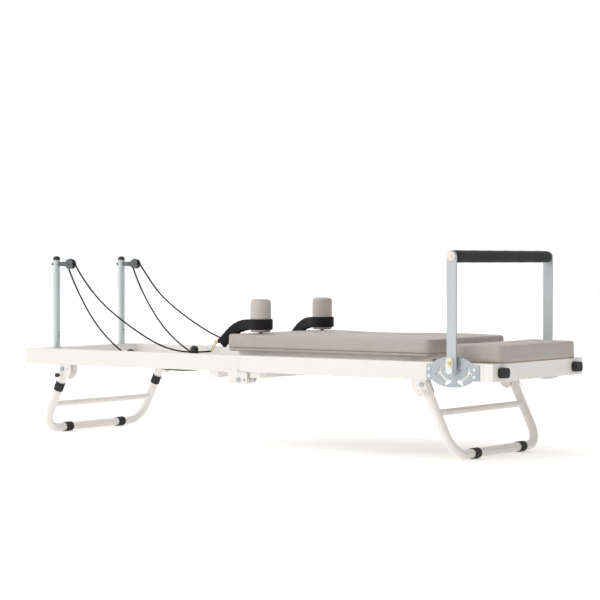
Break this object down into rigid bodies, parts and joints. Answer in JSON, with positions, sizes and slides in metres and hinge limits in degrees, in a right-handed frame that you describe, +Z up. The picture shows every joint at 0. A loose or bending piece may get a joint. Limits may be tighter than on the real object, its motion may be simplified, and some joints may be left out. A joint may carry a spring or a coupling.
{
  "type": "folding pilates reformer",
  "caption": "Folding exercise bed with a sprung sliding padded carriage on rails, rope pulleys on two posts, shoulder blocks and a swinging footbar.",
  "frame": {"origin": "on the floor, under the middle of the frame's length and width", "axes": "+X along the frame towards the foot end with the footbar, +Y across to the far side, +Z up"},
  "size_m": [2.41, 0.768, 0.7859],
  "materials": {
    "frame_paint": "warm white powder coat, satin",
    "zinc": "blue-grey zinc plate, satin",
    "strut_steel": "satin silver paint",
    "post_steel": "satin chrome",
    "black_plastic": "matte",
    "grey_plastic": "matte",
    "cream_plastic": "satin",
    "wheel_plastic": "satin",
    "rubber": "matte",
    "foam": "closed-cell foam, matte",
    "upholstery": "warm grey vinyl, soft grain",
    "board": "plywood",
    "rope": "braided cord",
    "webbing": "padded webbing",
    "brass": "polished",
    "spring_steel": "bright wire"
  },
  "bodies": {
    "foot_frame": {"foot_rails": "frame_paint", "foot_end_beam": "frame_paint", "foot_cross_tubes": "frame_paint", "fold_ears": "frame_paint", "foot_leg_brackets": "frame_paint", "foot_pivot_bolts": "zinc", "end_bumpers": "rubber", "quadrant_plates": "zinc", "quadrant_bolts": "zinc", "platform_board": "board", "platform_pad": "upholstery", "springs": "spring_steel", "footbar_bolts": "zinc"},
    "head_frame": {"head_rails": "frame_paint", "head_end_beam": "frame_paint", "head_cross_tubes": "frame_paint", "fold_plates": "frame_paint", "head_leg_brackets": "frame_paint", "head_pivot_bolts": "zinc", "posts": "post_steel", "post_caps": "black_plastic", "rope_guides": "black_plastic", "rope_loop_near": "rope", "rope_loop_far": "rope", "rope_guide_near": "rope", "rope_guide_far": "rope"},
    "foot_leg": {"foot_leg": "frame_paint", "foot_leg_bands": "rubber"},
    "head_leg": {"head_leg": "frame_paint", "head_leg_bands": "rubber"},
    "footbar": {"footbar_frame": "strut_steel", "footbar_foam": "foam", "footbar_caps": "cream_plastic", "footbar_latches": "cream_plastic"},
    "carriage": {"carriage_side_rails": "frame_paint", "carriage_cross_bars": "frame_paint", "carriage_board": "board", "carriage_pad": "upholstery", "side_rollers": "wheel_plastic", "hand_loop_near": "webbing", "hand_loop_far": "webbing", "rope_clips": "brass"},
    "wheels_head": {"carriage_wheels_head": "wheel_plastic"},
    "wheels_foot": {"carriage_wheels_foot": "wheel_plastic"},
    "pulley_near": {"pulley_block_near": "zinc"},
    "pulley_wheel_near": {"pulley_wheel_near": "black_plastic"},
    "post_knob_near": {"post_knob_near": "grey_plastic"},
    "shoulder_near": {"shoulder_block_near": "upholstery"},
    "latch_pin_near": {"latch_pin_near": "brass"},
    "fold_pin_near": {"fold_pin_near": "black_plastic"},
    "foot_leg_pin_near": {"foot_leg_pin_near": "black_plastic"},
    "head_leg_pin_near": {"head_leg_pin_near": "black_plastic"},
    "pulley_far": {"pulley_block_far": "zinc"},
    "pulley_wheel_far": {"pulley_wheel_far": "black_plastic"},
    "post_knob_far": {"post_knob_far": "grey_plastic"},
    "shoulder_far": {"shoulder_block_far": "upholstery"},
    "latch_pin_far": {"latch_pin_far": "brass"},
    "fold_pin_far": {"fold_pin_far": "black_plastic"},
    "foot_leg_pin_far": {"foot_leg_pin_far": "black_plastic"},
    "head_leg_pin_far": {"head_leg_pin_far": "black_plastic"}
  },
  "joints": [
    {"name": "frame_fold", "type": "hinge", "parent": "foot_frame", "child": "head_frame", "pos_m": [0, 0, 0.271], "axis": [0, -1, 0], "range_deg": [0, 175]},
    {"name": "foot_leg_fold", "type": "hinge", "parent": "foot_frame", "child": "foot_leg", "pos_m": [0.866, 0, 0.284], "axis": [0, 1, 0], "range_deg": [0, 112]},
    {"name": "head_leg_fold", "type": "hinge", "parent": "head_frame", "child": "head_leg", "pos_m": [-0.962, 0, 0.284], "axis": [0, -1, 0], "range_deg": [0, 112]},
    {"name": "carriage_slide", "type": "slide", "parent": "foot_frame", "child": "carriage", "axis": [-1, 0, 0], "range_m": [0, 0.88], "stiffness_N_per_m": 260, "springref_m": -0.08, "deforming": ["springs", "rope_loop_near", "rope_loop_far", "rope_guide_near", "rope_guide_far", "rope_clips", "hand_loop_near", "hand_loop_far"]},
    {"name": "wheel_roll_head", "type": "hinge", "parent": "carriage", "child": "wheels_head", "pos_m": [0.04, 0, 0.336], "axis": [0, -1, 0], "continuous": true},
    {"name": "wheel_roll_foot", "type": "hinge", "parent": "carriage", "child": "wheels_foot", "pos_m": [0.79, 0, 0.336], "axis": [0, -1, 0], "continuous": true},
    {"name": "footbar_swing", "type": "hinge", "parent": "foot_frame", "child": "footbar", "pos_m": [1.01, 0, 0.344], "axis": [0, 1, 0], "range_deg": [-65, 75]},
    {"name": "pulley_swivel_near", "type": "hinge", "parent": "head_frame", "child": "pulley_near", "pos_m": [-1.031, -0.214, 0.733], "axis": [1, 0, 0], "range_deg": [-60, 60]},
    {"name": "pulley_spin_near", "type": "hinge", "parent": "pulley_near", "child": "pulley_wheel_near", "pos_m": [-1.031, -0.214, 0.733], "axis": [0, 1, 0], "continuous": true},
    {"name": "post_knob_turn_near", "type": "hinge", "parent": "head_frame", "child": "post_knob_near", "pos_m": [-1.2, -0.214, 0.346], "axis": [1, 0, 0], "continuous": true},
    {"name": "shoulder_lift_near", "type": "slide", "parent": "carriage", "child": "shoulder_near", "axis": [0, 0, 1], "range_m": [0, 0.12]},
    {"name": "latch_pull_near", "type": "slide", "parent": "footbar", "child": "latch_pin_near", "axis": [0, -1, 0], "range_m": [0, 0.012], "stiffness_N_per_m": 600, "springref_m": -0.004},
    {"name": "fold_pin_pull_near", "type": "slide", "parent": "foot_frame", "child": "fold_pin_near", "axis": [0, 1, 0], "range_m": [0, 0.012], "stiffness_N_per_m": 600, "springref_m": -0.004},
    {"name": "foot_leg_pin_pull_near", "type": "slide", "parent": "foot_frame", "child": "foot_leg_pin_near", "axis": [0, -1, 0], "range_m": [0, 0.01], "stiffness_N_per_m": 600, "springref_m": -0.004},
    {"name": "head_leg_pin_pull_near", "type": "slide", "parent": "head_frame", "child": "head_leg_pin_near", "axis": [0, -1, 0], "range_m": [0, 0.01], "stiffness_N_per_m": 600, "springref_m": -0.004},
    {"name": "pulley_swivel_far", "type": "hinge", "parent": "head_frame", "child": "pulley_far", "pos_m": [-1.031, 0.214, 0.733], "axis": [1, 0, 0], "range_deg": [-60, 60]},
    {"name": "pulley_spin_far", "type": "hinge", "parent": "pulley_far", "child": "pulley_wheel_far", "pos_m": [-1.031, 0.214, 0.733], "axis": [0, 1, 0], "continuous": true},
    {"name": "post_knob_turn_far", "type": "hinge", "parent": "head_frame", "child": "post_knob_far", "pos_m": [-1.2, 0.214, 0.346], "axis": [1, 0, 0], "continuous": true},
    {"name": "shoulder_lift_far", "type": "slide", "parent": "carriage", "child": "shoulder_far", "axis": [0, 0, 1], "range_m": [0, 0.12]},
    {"name": "latch_pull_far", "type": "slide", "parent": "footbar", "child": "latch_pin_far", "axis": [0, 1, 0], "range_m": [0, 0.012], "stiffness_N_per_m": 600, "springref_m": -0.004},
    {"name": "fold_pin_pull_far", "type": "slide", "parent": "foot_frame", "child": "fold_pin_far", "axis": [0, -1, 0], "range_m": [0, 0.012], "stiffness_N_per_m": 600, "springref_m": -0.004},
    {"name": "foot_leg_pin_pull_far", "type": "slide", "parent": "foot_frame", "child": "foot_leg_pin_far", "axis": [0, 1, 0], "range_m": [0, 0.01], "stiffness_N_per_m": 600, "springref_m": -0.004},
    {"name": "head_leg_pin_pull_far", "type": "slide", "parent": "head_frame", "child": "head_leg_pin_far", "axis": [0, 1, 0], "range_m": [0, 0.01], "stiffness_N_per_m": 600, "springref_m": -0.004}
  ],
  "couplings": [
    {"joint": "foot_leg_fold", "follows": "frame_fold", "ratio": 0.64},
    {"joint": "head_leg_fold", "follows": "frame_fold", "ratio": 0.64},
    {"joint": "wheel_roll_head", "follows": "carriage_slide", "rad_per_m": 41.754},
    {"joint": "wheel_roll_foot", "follows": "carriage_slide", "rad_per_m": 41.754}
  ]
}
